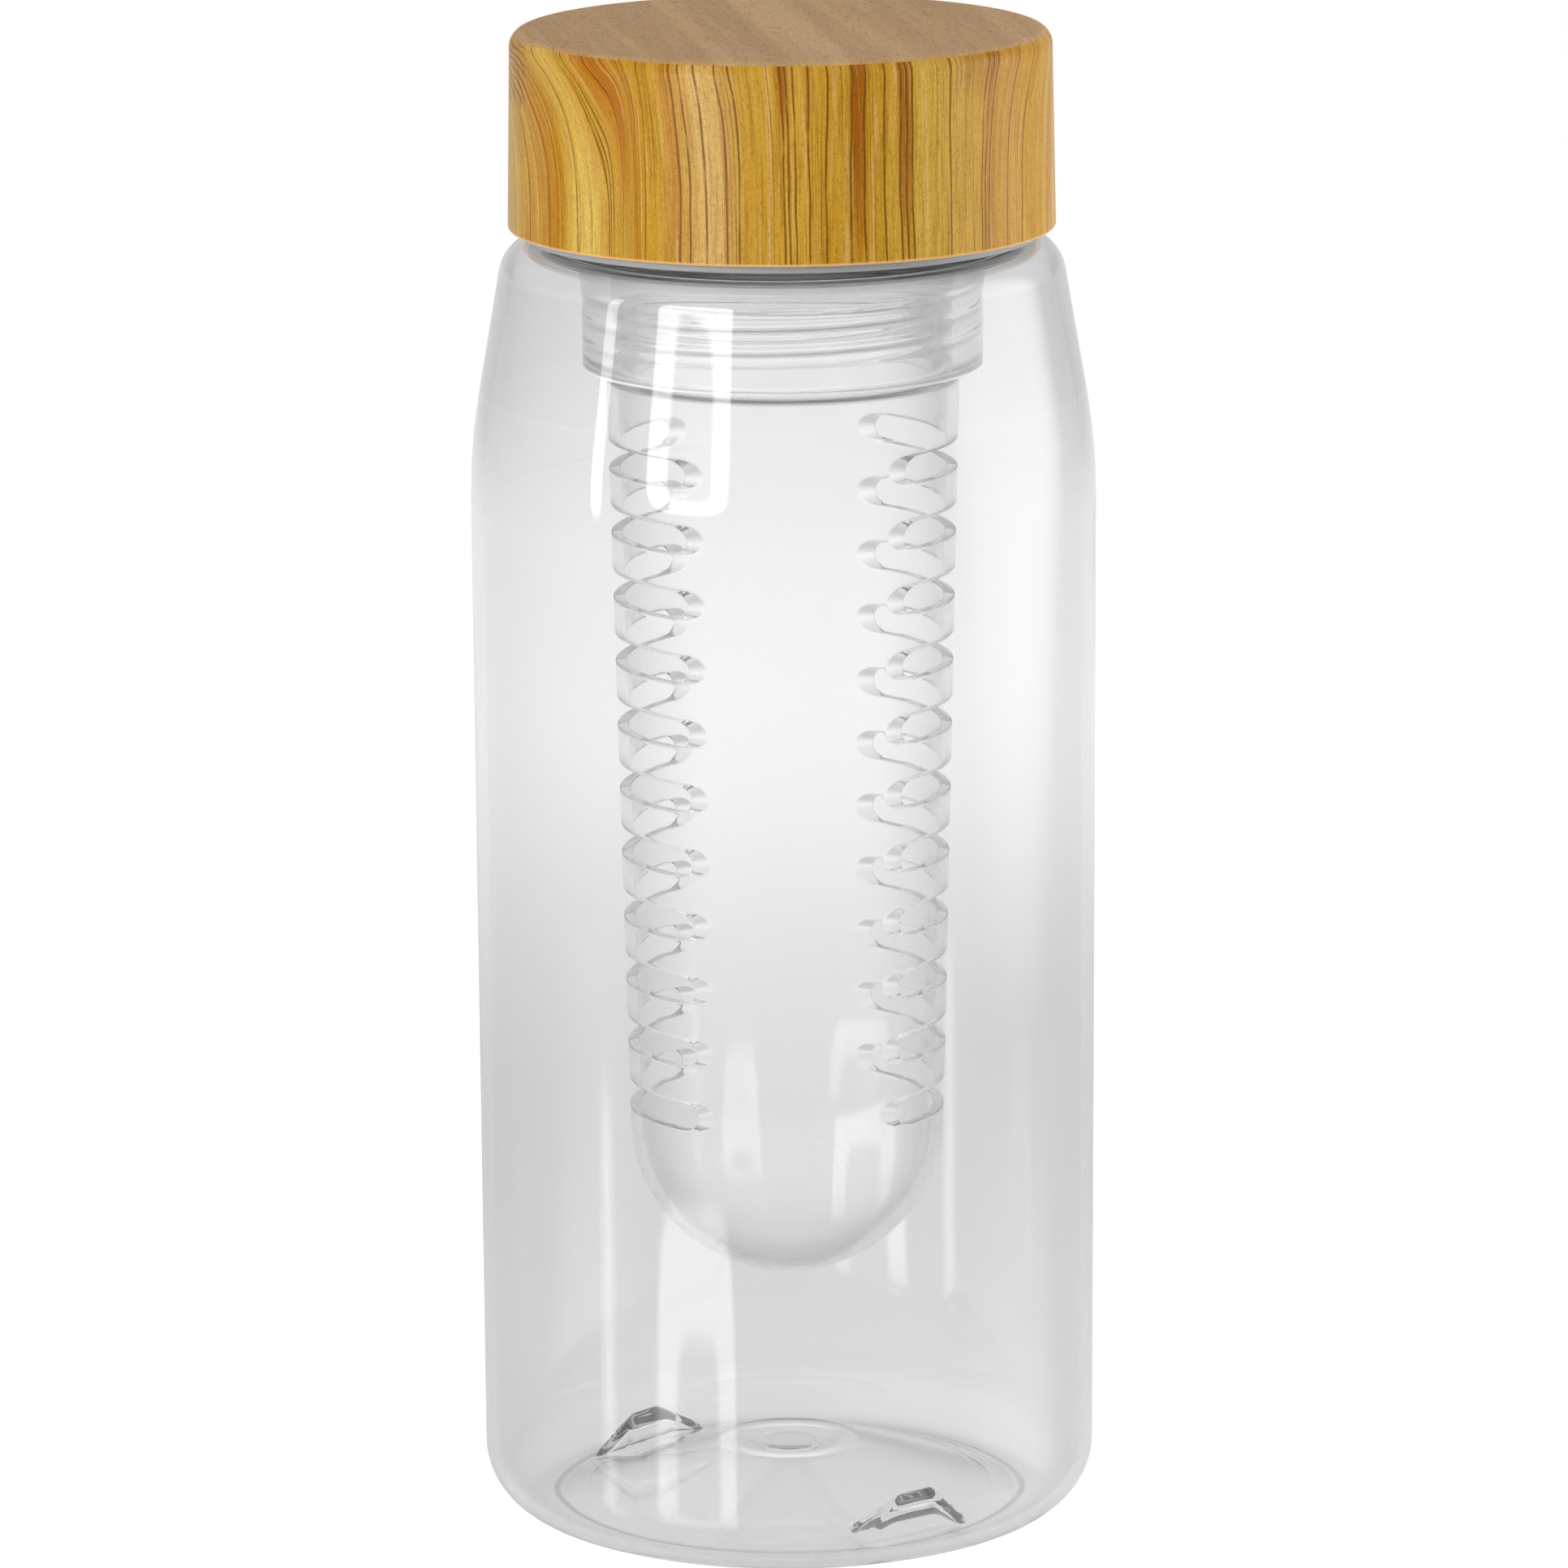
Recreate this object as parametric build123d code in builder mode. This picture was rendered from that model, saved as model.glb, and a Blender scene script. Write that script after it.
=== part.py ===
from build123d import *
import os
from math import cos, radians, sin

# A clear screw-cap water bottle with a slotted fruit basket that hangs from its cap.
# Millimetres. The origin is the middle of the base, on the surface that the bottle stands on, and +Z is up.

# Bottle body: a blown wall that widens a little upwards, then a soft cone up to the neck
bottle_radius = 42.0
body_draft = 0.4
bottle_wall = 1.6
heel_blend = 9.0
shoulder_height = 175.2
shoulder_rise = 28.1
shoulder_start_blend = 80.0
shoulder_margin = 0.5
shoulder_blend = 5.2

# Bottle base: a standing ring, a push-up inside it and a shallow dimple at the centre
standing_width = 1.6
base_step_run = 3.5
base_step_height = 0.9
base_step_blend = 5.0
base_rise = 7.6
gate_radius = 3.8
gate_slope_run = 3.8
gate_depth = 0.5
gate_blend = 1.5

# Base lugs: two wedges pressed up into the base about opposite each other, which stop the bottle turning while
# it is capped
lug_direction = -50.0
lug_spread = 190.0
lug_reach = 0.8
lug_width = 9.4
lug_ramp_length = 12.0
lug_back_length = 7.0
lug_foot_height = 2.6
lug_peak_height = 9.2
lug_peak_blend = 1.8

# Bottle neck, plain where its thread is left to the finishing model
neck_radius = 31.0
neck_wall = 2.0
neck_height = 22.6
neck_root_blend = 0.8
rim_blend = 0.6

# Gasket between the bottle's rim and the liner's top
gasket_thickness = 2.0
gasket_overhang = 0.7
gasket_clearance = 0.3
gasket_blend = 0.4

# Cap shell: a thin moulded cover with a slight draft
cap_draft = 0.5
cap_wall = 1.8
cap_top_wall = 1.8
cap_edge_blend = 2.2
cap_foot_blend = 0.5

# Cap liner: top, threaded skirt with a lip that shows under the shell, and the collar that holds the basket
liner_top_wall = 1.6
liner_edge_blend = 0.8
shell_clearance = 0.25
lip_drop = 1.1
lip_clearance = 0.3
lip_blend = 0.3
neck_thread_height = 1.3
neck_thread_clearance = 0.3
skirt_wall = 1.95
collar_clearance = 2.2
collar_wall = 4.0
collar_length = 41.8
collar_foot_blend = 0.4

# Infuser basket: a drafted tube with a round bottom, hung below the collar by a threaded neck
infuser_neck_height = 10.0
infuser_thread_height = 0.9
infuser_thread_clearance = 0.2
infuser_shoulder_width = 2.0
infuser_draft = 2.35
infuser_wall = 1.5
infuser_floor_gap = 23.8
infuser_shoulder_blend = 0.5
infuser_rim_blend = 0.4

# Basket slots: two opposite columns, with as many rows as the tube has room for above its round bottom
slot_pitch = 8.8
slot_height = 3.8
slot_half_angle = 51.5
slot_first_drop = 11.8
slot_direction = 4.8

# How far a cut runs past the face it leaves
overrun = 2.0

# Heights that follow from the sizes above
rim_height = shoulder_height + neck_height
liner_underside = rim_height + gasket_thickness
liner_top = liner_underside + liner_top_wall
cap_top = liner_top + cap_top_wall
lip_height = shoulder_height + lip_clearance
cap_foot = lip_height + lip_drop
shoulder_start_height = shoulder_height - shoulder_rise

# Radii from the neck outwards: the skirt runs over the neck's thread, the shell over the skirt
neck_bore_radius = neck_radius - neck_wall
skirt_bore_radius = neck_radius + neck_thread_height + neck_thread_clearance
cap_foot_radius = skirt_bore_radius + skirt_wall + shell_clearance + cap_wall
cap_top_radius = cap_foot_radius - cap_draft
shoulder_radius = cap_foot_radius + shoulder_margin
bottle_foot_radius = bottle_radius - body_draft
base_ring_radius = bottle_foot_radius - heel_blend - standing_width
lug_outer_radius = base_ring_radius + lug_reach
lug_inner_radius = lug_outer_radius - lug_width

# Radii from the neck inwards: the collar hangs in the bottle's mouth, and the basket's neck goes up into it
collar_radius = neck_bore_radius - collar_clearance
collar_bore_radius = collar_radius - collar_wall
infuser_neck_radius = collar_bore_radius - infuser_thread_height - infuser_thread_clearance
infuser_top_radius = infuser_neck_radius + infuser_shoulder_width
infuser_dome_radius = infuser_top_radius - infuser_draft

# The basket's length is what the collar and the bottle's base leave it
collar_foot = liner_underside - collar_length
infuser_rim = collar_foot + infuser_neck_height
infuser_bottom = base_rise + bottle_wall + infuser_floor_gap
dome_centre = infuser_bottom + infuser_dome_radius
slot_top = collar_foot - slot_first_drop
slot_count = 1 + int((slot_top - dome_centre - slot_height / 2) / slot_pitch)


def bottle_corners(inset, neck, top):
    """Corners of the bottle's half section, and the blend at each one. The inset is the wall for the inside."""
    gate = base_rise - gate_depth + inset
    corners = [
        ((0, gate), 0),
        ((gate_radius, gate), gate_blend),
        ((gate_radius + gate_slope_run, base_rise + inset), gate_blend),
        ((base_ring_radius - base_step_run, base_step_height + inset), base_step_blend + inset),
        ((base_ring_radius, inset), base_step_blend),
        ((bottle_foot_radius - inset, inset), heel_blend - inset),
        ((bottle_radius - inset, shoulder_start_height), shoulder_start_blend - inset),
        ((shoulder_radius - inset, shoulder_height - inset), shoulder_blend - inset),
        ((neck, shoulder_height - inset), neck_root_blend),
        ((neck, top), 0),
        ((0, top), 0),
    ]
    return [point for point, blend in corners], [blend for point, blend in corners]


def lug_plane(direction, radius):
    """A plane that faces out along a direction about the axis: its x runs round the bottle and its y runs up."""
    turn = radians(direction)
    out = (cos(turn), sin(turn), 0)
    return Plane(origin=(radius * cos(turn), radius * sin(turn), 0), x_dir=(-sin(turn), cos(turn), 0), z_dir=out)


# The side of a lug as seen from the axis: a long ramp, a rounded peak and a short steep back
lug_side = [
    (-lug_ramp_length, -overrun),
    (-lug_ramp_length, lug_foot_height),
    (0, lug_peak_height),
    (lug_back_length, lug_foot_height),
    (lug_back_length, -overrun),
]
lug_blends = [0, 0, lug_peak_blend, 0, 0]
lug_directions = (lug_direction, lug_direction + lug_spread)

# The space inside the bottle, with the lugs standing up into it
with BuildPart() as bottle_space:
    with BuildSketch(Plane.XZ):
        with BuildLine():
            points, blends = bottle_corners(bottle_wall, neck_bore_radius, rim_height + overrun)
            FilletPolyline(*points, radius=blends, close=True)
        make_face()
    revolve(axis=Axis.Z)
    for direction in lug_directions:
        with BuildSketch(lug_plane(direction, lug_inner_radius)):
            with BuildLine():
                FilletPolyline(*lug_side, radius=lug_blends, close=True)
            make_face()
        extrude(amount=lug_outer_radius - lug_inner_radius, mode=Mode.SUBTRACT)

# Bottle: the outer form, less the lug recesses pressed in from below and the space inside
with BuildPart() as bottle:
    with BuildSketch(Plane.XZ):
        with BuildLine():
            points, blends = bottle_corners(0, neck_radius, rim_height)
            FilletPolyline(*points, radius=blends, close=True)
        make_face()
    revolve(axis=Axis.Z)
    for direction in lug_directions:
        with BuildSketch(lug_plane(direction, lug_inner_radius + bottle_wall)):
            with BuildLine():
                FilletPolyline(*lug_side, radius=lug_blends, close=True)
            make_face()
            offset(amount=-bottle_wall)
        extrude(amount=lug_outer_radius - lug_inner_radius - 2 * bottle_wall, mode=Mode.SUBTRACT)
    add(bottle_space.part, mode=Mode.SUBTRACT)
    rim_edges = bottle.edges().group_by(Axis.Z)[-1]
    fillet(rim_edges, radius=rim_blend)
bottle.part.label = "bottle"

# Gasket: a flat ring with rounded edges, on the rim and just inside the skirt
with BuildPart() as lid_gasket:
    with BuildSketch(Plane.XY.offset(rim_height)):
        Circle(skirt_bore_radius - gasket_clearance)
        Circle(neck_bore_radius - gasket_overhang, mode=Mode.SUBTRACT)
    extrude(amount=gasket_thickness)
    fillet(lid_gasket.edges().filter_by(GeomType.CIRCLE), radius=gasket_blend)
lid_gasket.part.label = "lid_gasket"

# Cap shell: outer form with a rounded top edge, hollowed to one wall
with BuildPart() as cap_shell:
    with BuildSketch(Plane.XZ):
        with BuildLine():
            FilletPolyline(
                (0, cap_top),
                (cap_top_radius, cap_top),
                (cap_foot_radius, cap_foot),
                (cap_foot_radius - cap_wall, cap_foot),
                (cap_top_radius - cap_wall, cap_top - cap_top_wall),
                (0, cap_top - cap_top_wall),
                radius=[0, cap_edge_blend, cap_foot_blend, cap_foot_blend, cap_edge_blend - cap_wall, 0],
                close=True,
            )
        make_face()
    revolve(axis=Axis.Z)
cap_shell.part.label = "cap_shell"

# Cap liner: it follows the inside of the shell, takes the bottle's neck in its skirt and ends in the collar
with BuildPart() as cap_liner:
    with BuildSketch(Plane.XZ):
        with BuildLine():
            FilletPolyline(
                (0, liner_top),
                (cap_top_radius - cap_wall - shell_clearance, liner_top),
                (cap_foot_radius - cap_wall - shell_clearance, lip_height),
                (skirt_bore_radius, lip_height),
                (skirt_bore_radius, liner_underside),
                (collar_radius, liner_underside),
                (collar_radius, collar_foot),
                (collar_bore_radius, collar_foot),
                (collar_bore_radius, liner_underside),
                (0, liner_underside),
                radius=[0, liner_edge_blend, lip_blend, 0, 0, 0, collar_foot_blend, 0, 0, 0],
                close=True,
            )
        make_face()
    revolve(axis=Axis.Z)
cap_liner.part.label = "cap_liner"


def basket_radius(height):
    """Outer radius of the drafted tube at a height."""
    draft = (infuser_top_radius - infuser_dome_radius) / (collar_foot - dome_centre)
    return infuser_dome_radius + draft * (height - dome_centre)


# Infuser basket: one wall from the dome up to the rim and back down inside, then rows of slots through both sides
with BuildPart() as infuser_basket:
    inner_dome_radius = infuser_dome_radius - infuser_wall
    with BuildSketch(Plane.XZ):
        with BuildLine():
            FilletPolyline(
                (infuser_dome_radius, dome_centre),
                (infuser_top_radius, collar_foot),
                (infuser_neck_radius, collar_foot),
                (infuser_neck_radius, infuser_rim),
                (infuser_neck_radius - infuser_wall, infuser_rim),
                (infuser_neck_radius - infuser_wall, collar_foot - infuser_wall),
                (infuser_top_radius - infuser_wall, collar_foot - infuser_wall),
                (inner_dome_radius, dome_centre),
                radius=[infuser_shoulder_blend, 0, infuser_rim_blend, infuser_rim_blend, 0, 0],
            )
            CenterArc((0, dome_centre), inner_dome_radius, start_angle=0, arc_size=-90)
            Line((0, infuser_bottom + infuser_wall), (0, infuser_bottom))
            CenterArc((0, dome_centre), infuser_dome_radius, start_angle=-90, arc_size=90)
        make_face()
    revolve(axis=Axis.Z)
    turn = radians(slot_direction)
    slot_plane = Plane(origin=(0, 0, 0), x_dir=(-sin(turn), cos(turn), 0), z_dir=(cos(turn), sin(turn), 0))
    for row in range(slot_count):
        height = slot_top - row * slot_pitch
        with BuildSketch(slot_plane):
            with Locations((0, height)):
                SlotOverall(2 * basket_radius(height) * sin(radians(slot_half_angle)), slot_height)
        extrude(amount=infuser_top_radius + overrun, both=True, mode=Mode.SUBTRACT)
infuser_basket.part.label = "infuser_basket"

os.makedirs("parts", exist_ok=True)
export_step(bottle.part, "parts/bottle.step")
export_step(lid_gasket.part, "parts/lid_gasket.step")
export_step(cap_shell.part, "parts/cap_shell.step")
export_step(cap_liner.part, "parts/cap_liner.step")
export_step(infuser_basket.part, "parts/infuser_basket.step")
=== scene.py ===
from math import acos, ceil, cos, pi, radians, sin, tan

import bpy
import numpy as np
from mathutils import Euler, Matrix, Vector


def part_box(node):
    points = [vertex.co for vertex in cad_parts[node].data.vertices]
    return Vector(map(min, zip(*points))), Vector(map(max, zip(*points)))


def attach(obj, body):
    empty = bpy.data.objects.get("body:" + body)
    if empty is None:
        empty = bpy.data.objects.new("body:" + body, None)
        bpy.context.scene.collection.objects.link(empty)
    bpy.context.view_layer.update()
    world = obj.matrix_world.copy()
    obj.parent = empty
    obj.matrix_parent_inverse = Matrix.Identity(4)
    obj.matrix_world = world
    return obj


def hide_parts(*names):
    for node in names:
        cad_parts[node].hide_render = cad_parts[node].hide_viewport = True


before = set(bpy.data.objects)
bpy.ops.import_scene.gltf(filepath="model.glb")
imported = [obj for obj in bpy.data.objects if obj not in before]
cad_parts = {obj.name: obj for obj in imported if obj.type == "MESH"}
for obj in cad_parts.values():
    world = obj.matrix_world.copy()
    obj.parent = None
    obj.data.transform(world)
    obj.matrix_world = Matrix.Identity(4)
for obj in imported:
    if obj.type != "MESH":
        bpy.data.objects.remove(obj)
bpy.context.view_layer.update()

# Lengths are written in millimetres, and a mesh is scaled to metres when it is made
MM = 0.001

# Sizes of the solids, read from the frame
rim_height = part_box("bottle")[1].z / MM
cap_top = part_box("cap_shell")[1].z / MM
cap_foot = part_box("cap_shell")[0].z / MM
liner_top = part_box("cap_liner")[1].z / MM
collar_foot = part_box("cap_liner")[0].z / MM
gasket_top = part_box("lid_gasket")[1].z / MM
basket_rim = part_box("infuser_basket")[1].z / MM
basket_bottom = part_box("infuser_basket")[0].z / MM

# Bottle, as in the solids
bottle_radius = 42.0
bottle_foot_radius = 41.6
bottle_wall = 1.6
heel_blend = 9.0
shoulder_start_height = 147.1
shoulder_start_blend = 80.0
shoulder_radius = 37.1
shoulder_height = 175.2
shoulder_blend = 5.2
base_ring_radius = 31.0
base_step_run = 3.5
base_step_height = 0.9
base_step_blend = 5.0
base_rise = 7.6
gate_radius = 3.8
gate_slope_run = 3.8
gate_depth = 0.5
gate_blend = 1.5
gate_crest_blend = 8.0
neck_radius = 31.0
neck_wall = 2.0
neck_root_blend = 0.8
rim_blend = 0.6

# Base lugs: two wedges pressed up into the base
lug_direction = -50.0
lug_spread = 190.0
lug_inner_radius = 22.4
lug_outer_radius = 31.8
lug_ramp_length = 12.0
lug_back_length = 7.0
lug_foot_height = 2.6
lug_peak_height = 9.2
lug_peak_blend = 0.9
lug_edge_blend = 0.5
lug_side_slope = 1.6

# Threads, which the solids leave out. They start above the shoulder or the collar's foot
thread_pitch = 3.2
thread_crest_share = 0.12
thread_root_share = 0.5
thread_fade_turn = 0.12
thread_margin = 0.5
neck_thread_height = 0.85
neck_thread_turns = 2.0
neck_thread_start = 6.2
skirt_thread_height = 0.65
collar_thread_height = 0.12
collar_thread_turns = 3.125
collar_thread_start = 1.4
infuser_thread_height = 0.9
infuser_thread_short_turns = 0.9
infuser_thread_start = 3.0
infuser_plain_foot = 0.9
infuser_plain_rim = 0.7

# Gasket
gasket_outer_radius = 32.3
gasket_inner_radius = 28.3
gasket_blend = 0.4

# Cap shell
cap_foot_radius = 36.6
cap_top_radius = 36.1
cap_wall = 1.8
cap_top_wall = 1.8
cap_edge_blend = 2.2
cap_foot_blend = 0.5

# Cap liner
liner_edge_blend = 0.8
shell_clearance = 0.25
lip_height = 175.5
lip_blend = 0.3
skirt_bore_radius = 32.6
collar_radius = 26.8
collar_bore_radius = 22.8
collar_foot_blend = 0.4
inside_corner_blend = 0.6

# Basket
infuser_neck_radius = 21.7
infuser_top_radius = 23.7
infuser_dome_radius = 21.35
infuser_wall = 1.5
infuser_shoulder_blend = 0.5
infuser_rim_blend = 0.4
slot_count = 11
slot_pitch = 8.8
slot_height = 3.8
slot_half_angle = 51.5
slot_first_drop = 11.8
slot_direction = 4.8
slot_edge_blend = 0.15

# Fineness of the meshes
blend_step = radians(6)
support_gap = 0.25
thread_step = 0.22
base_fine_step = 0.45
bottle_step = 3.0
cap_step = 2.0
short_step = 1.0
face_tolerance = 0.01
bottle_segments = 384
cap_segments = 256
gasket_segments = 192


def corner_arc(before, corner, after, blend):
    """Points of the tangent arc that rounds a corner, from the side before it to the side after it."""
    u, v = (before - corner), (after - corner)
    u, v = u / np.linalg.norm(u), v / np.linalg.norm(v)
    angle = acos(float(np.clip(u @ v, -1, 1)))
    turn = pi - angle
    if blend <= 0 or turn < 1e-6:
        return [corner]
    centre = corner + (u + v) / np.linalg.norm(u + v) * blend / sin(angle / 2)
    start = corner + u * blend / tan(angle / 2) - centre
    side = 1 if u[0] * v[1] - u[1] * v[0] < 0 else -1
    steps = max(3, ceil(turn / blend_step))
    turns = [side * turn * i / steps for i in range(steps + 1)]
    return [centre + np.array((start[0] * cos(t) - start[1] * sin(t), start[0] * sin(t) + start[1] * cos(t)))
            for t in turns]


def outline(corners, spacing, closed=False):
    """An outline with its corners rounded.

    A corner is (radius, height, blend), and spacing gives the longest step at a point."""
    points = [np.array(c[:2], float) for c in corners]
    runs = []
    for i, corner in enumerate(points):
        if not closed and i in (0, len(points) - 1):
            runs.append([corner])
        else:
            runs.append(corner_arc(points[i - 1], corner, points[(i + 1) % len(points)], corners[i][2]))
    path = []
    for i, run in enumerate(runs):
        path += run
        if i + 1 == len(runs) and not closed:
            break
        a, b = run[-1], runs[(i + 1) % len(runs)][0]
        length = np.linalg.norm(b - a)
        if length > 4 * support_gap:
            path.append(a + (b - a) * support_gap / length)
            inner = length - 2 * support_gap
            steps = max(1, ceil(inner / spacing(*(a + b) / 2)))
            path += [a + (b - a) * (support_gap + inner * k / steps) / length for k in range(1, steps + 1)]
    return np.array(path)


def mesh_object(name, points, faces, body, nodes, material):
    """A smooth mesh piece in metres, which rides on a body and stands for nodes of the solids."""
    mesh = bpy.data.meshes.new(name)
    mesh.from_pydata([tuple(p) for p in np.asarray(points) * MM], [], faces)
    mesh.validate()
    mesh.shade_smooth()
    piece = bpy.data.objects.new(name, mesh)
    bpy.context.scene.collection.objects.link(piece)
    mesh.materials.append(material)
    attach(piece, body)
    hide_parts(*nodes)
    return piece


def ring_faces(rows, columns, wrap, first=0):
    """Quads of a grid of rings, where the last ring meets the first one if wrap is set."""
    count = rows if wrap else rows - 1
    faces = []
    for i in range(count):
        a, b = first + i * columns, first + (i + 1) % rows * columns
        faces += [(a + j, b + j, b + (j + 1) % columns, a + (j + 1) % columns) for j in range(columns)]
    return faces


def lathe(path, segments, closed=False, move=None):
    """Points and faces of an outline turned about the axis. An open outline starts and ends on the axis."""
    path = path if closed else path[1:-1]
    turn = np.arange(segments) * 2 * pi / segments
    radius = np.repeat(path[:, 0][:, None], segments, 1)
    height = np.repeat(path[:, 1][:, None], segments, 1)
    if move:
        radius, height = move(radius, height, turn[None, :])
    points = np.stack((radius * np.cos(turn), radius * np.sin(turn), height), -1).reshape(-1, 3)
    faces = ring_faces(len(path), segments, closed)
    if not closed:
        last = (len(path) - 1) * segments
        low, high = len(points), len(points) + 1
        poles = [(0, 0, height[0].mean()), (0, 0, height[-1].mean())]
        points = np.vstack((points, poles))
        faces += [(low, j, (j + 1) % segments) for j in range(segments)]
        faces += [(last + (j + 1) % segments, last + j, high) for j in range(segments)]
    return points, faces


def smooth_step(low, high, value):
    """0 below low, 1 above high, with a smooth rise between."""
    t = np.clip((value - low) / (high - low), 0, 1)
    return t * t * (3 - 2 * t)


def smooth_max(a, b, blend):
    """The larger of two heights, with their crease rounded."""
    return np.maximum(a, b) + np.maximum(blend - np.abs(a - b), 0) ** 2 / (4 * blend)


def smooth_min(a, b, blend):
    """The smaller of two heights, with their crease rounded."""
    return -smooth_max(-a, -b, blend)


def thread_ridge(height, turn, start, turns):
    """Height share of a right-handed thread at places on a cylinder: 1 on its crest and 0 off it."""
    along = (height - start) / thread_pitch - turn / (2 * pi)
    nearest = np.round(along)
    gap = np.abs(along - nearest)
    ridge = 1 - smooth_step(thread_crest_share / 2, thread_root_share / 2, gap)
    travelled = nearest + turn / (2 * pi)
    starting = smooth_step(0, thread_fade_turn, travelled)
    ending = smooth_step(turns - thread_fade_turn, turns, travelled)
    return ridge * (starting * (1 - ending))


# Materials

def new_material(name):
    """A material with an empty node tree, its output and its nodes."""
    material = bpy.data.materials.new(name)
    material.use_nodes = True
    tree = material.node_tree
    tree.nodes.clear()
    return material, tree, tree.nodes.new("ShaderNodeOutputMaterial")


def node(tree, kind, inputs=(), **settings):
    """A new node with its settings. An input is (name, value), and its value may be another node's output."""
    made = tree.nodes.new(kind)
    for name, value in settings.items():
        setattr(made, name, value)
    for name, value in inputs:
        socket = made.inputs[name]
        if isinstance(value, bpy.types.NodeSocket):
            tree.links.new(value, socket)
        else:
            socket.default_value = value
    return made


def math_node(tree, operation, *values):
    """The result of a Math node on values or other nodes' outputs."""
    return node(tree, "ShaderNodeMath", list(enumerate(values)), operation=operation).outputs[0]


def blend_range(tree, value, low, high, start=0.0, end=1.0):
    """A smooth rise from start to end as a value goes from low to high."""
    made = node(tree, "ShaderNodeMapRange", [
        ("Value", value), ("From Min", low), ("From Max", high), ("To Min", start), ("To Max", end)],
        interpolation_type="SMOOTHSTEP")
    return made.outputs["Result"]


def mixed_colour(tree, share, first, second, how="MIX"):
    """Two colours mixed by a share of the second. Each may be a colour or another node's output."""
    made = node(tree, "ShaderNodeMix", data_type="RGBA", blend_type=how)
    for place, value in ((0, share), (6, first), (7, second)):
        if isinstance(value, bpy.types.NodeSocket):
            tree.links.new(value, made.inputs[place])
        elif place == 0:
            made.inputs[place].default_value = value
        else:
            made.inputs[place].default_value = (*value, 1)
    return made.outputs[2]


def noise(tree, vector, scale, detail=2.0, roughness=0.5):
    """The value of a noise texture at a place."""
    made = node(tree, "ShaderNodeTexNoise", [("Vector", vector), ("Scale", scale), ("Detail", detail),
                                             ("Roughness", roughness)])
    return made.outputs["Fac"]


# Plastics

entry_tint_turns = (0.12, 0.75)
depth_colour = (0.1, 0.1, 0.08, 1)
clear_shadow, liner_shadow = 0.9, 0.7
# The lip's grey is painted shade, as if the lip lay in the shadow under the cap's edge
milky_dark, milky_light, lip_shade_grey = (0.74, 0.745, 0.75), (0.82, 0.825, 0.83), (0.33, 0.335, 0.345)
collar_facing, collar_grazing = (0.84, 0.845, 0.85), (0.50, 0.505, 0.51)
collar_foot_tone = (0.88, 0.885, 0.89)
collar_clearness, collar_foot_share = 0.86, 0.45
milky_roughness, collar_roughness, liner_bending = 0.35, 0.03, 1.25
silicone_dark, silicone_light = (0.82, 0.82, 0.80), (0.90, 0.90, 0.88)


def lit_through(tree, shader, out, shadow_tone):
    """A clear shader that lets lamps through to what is behind it, dimmed by a tone."""
    path = node(tree, "ShaderNodeLightPath")
    clear = node(tree, "ShaderNodeBsdfTransparent", [("Color", (shadow_tone, shadow_tone, shadow_tone, 1))])
    mixed = node(tree, "ShaderNodeMixShader", [
        (0, path.outputs["Is Shadow Ray"]), (1, shader), (2, clear.outputs[0])])
    tree.links.new(mixed.outputs[0], out.inputs["Surface"])


def entry_tint(tree, facing, grazing):
    """A tint where light enters a clear piece, deeper at grazing angles, and none where it leaves again."""
    turned = node(tree, "ShaderNodeLayerWeight", [("Blend", 0.5)]).outputs["Facing"]
    leaving = node(tree, "ShaderNodeNewGeometry").outputs["Backfacing"]
    tint = mixed_colour(tree, blend_range(tree, turned, *entry_tint_turns), facing, grazing)
    return mixed_colour(tree, leaving, tint, (1.0, 1.0, 1.0))


def clear_plastic(name, facing, grazing, roughness, wave_scale, wave_depth, density, bending, clearness=1.0):
    """Clear moulded plastic, slightly wavy, darker at grazing angles and on a long way through it."""
    material, tree, out = new_material(name)
    place = node(tree, "ShaderNodeTexCoord")
    waves = noise(tree, place.outputs["Object"], wave_scale, 1.0)
    bump = node(tree, "ShaderNodeBump", [("Height", waves), ("Strength", 1.0), ("Distance", wave_depth)])
    tint = entry_tint(tree, (facing,) * 3, (grazing,) * 3)
    plastic = node(tree, "ShaderNodeBsdfPrincipled", [
        ("Base Color", tint), ("Transmission Weight", clearness), ("Roughness", roughness), ("IOR", bending),
        ("Normal", bump.outputs["Normal"])])
    lit_through(tree, plastic.outputs[0], out, clear_shadow)
    depth = node(tree, "ShaderNodeVolumeAbsorption", [("Color", depth_colour), ("Density", density)])
    tree.links.new(depth.outputs[0], out.inputs["Volume"])
    return material


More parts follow.
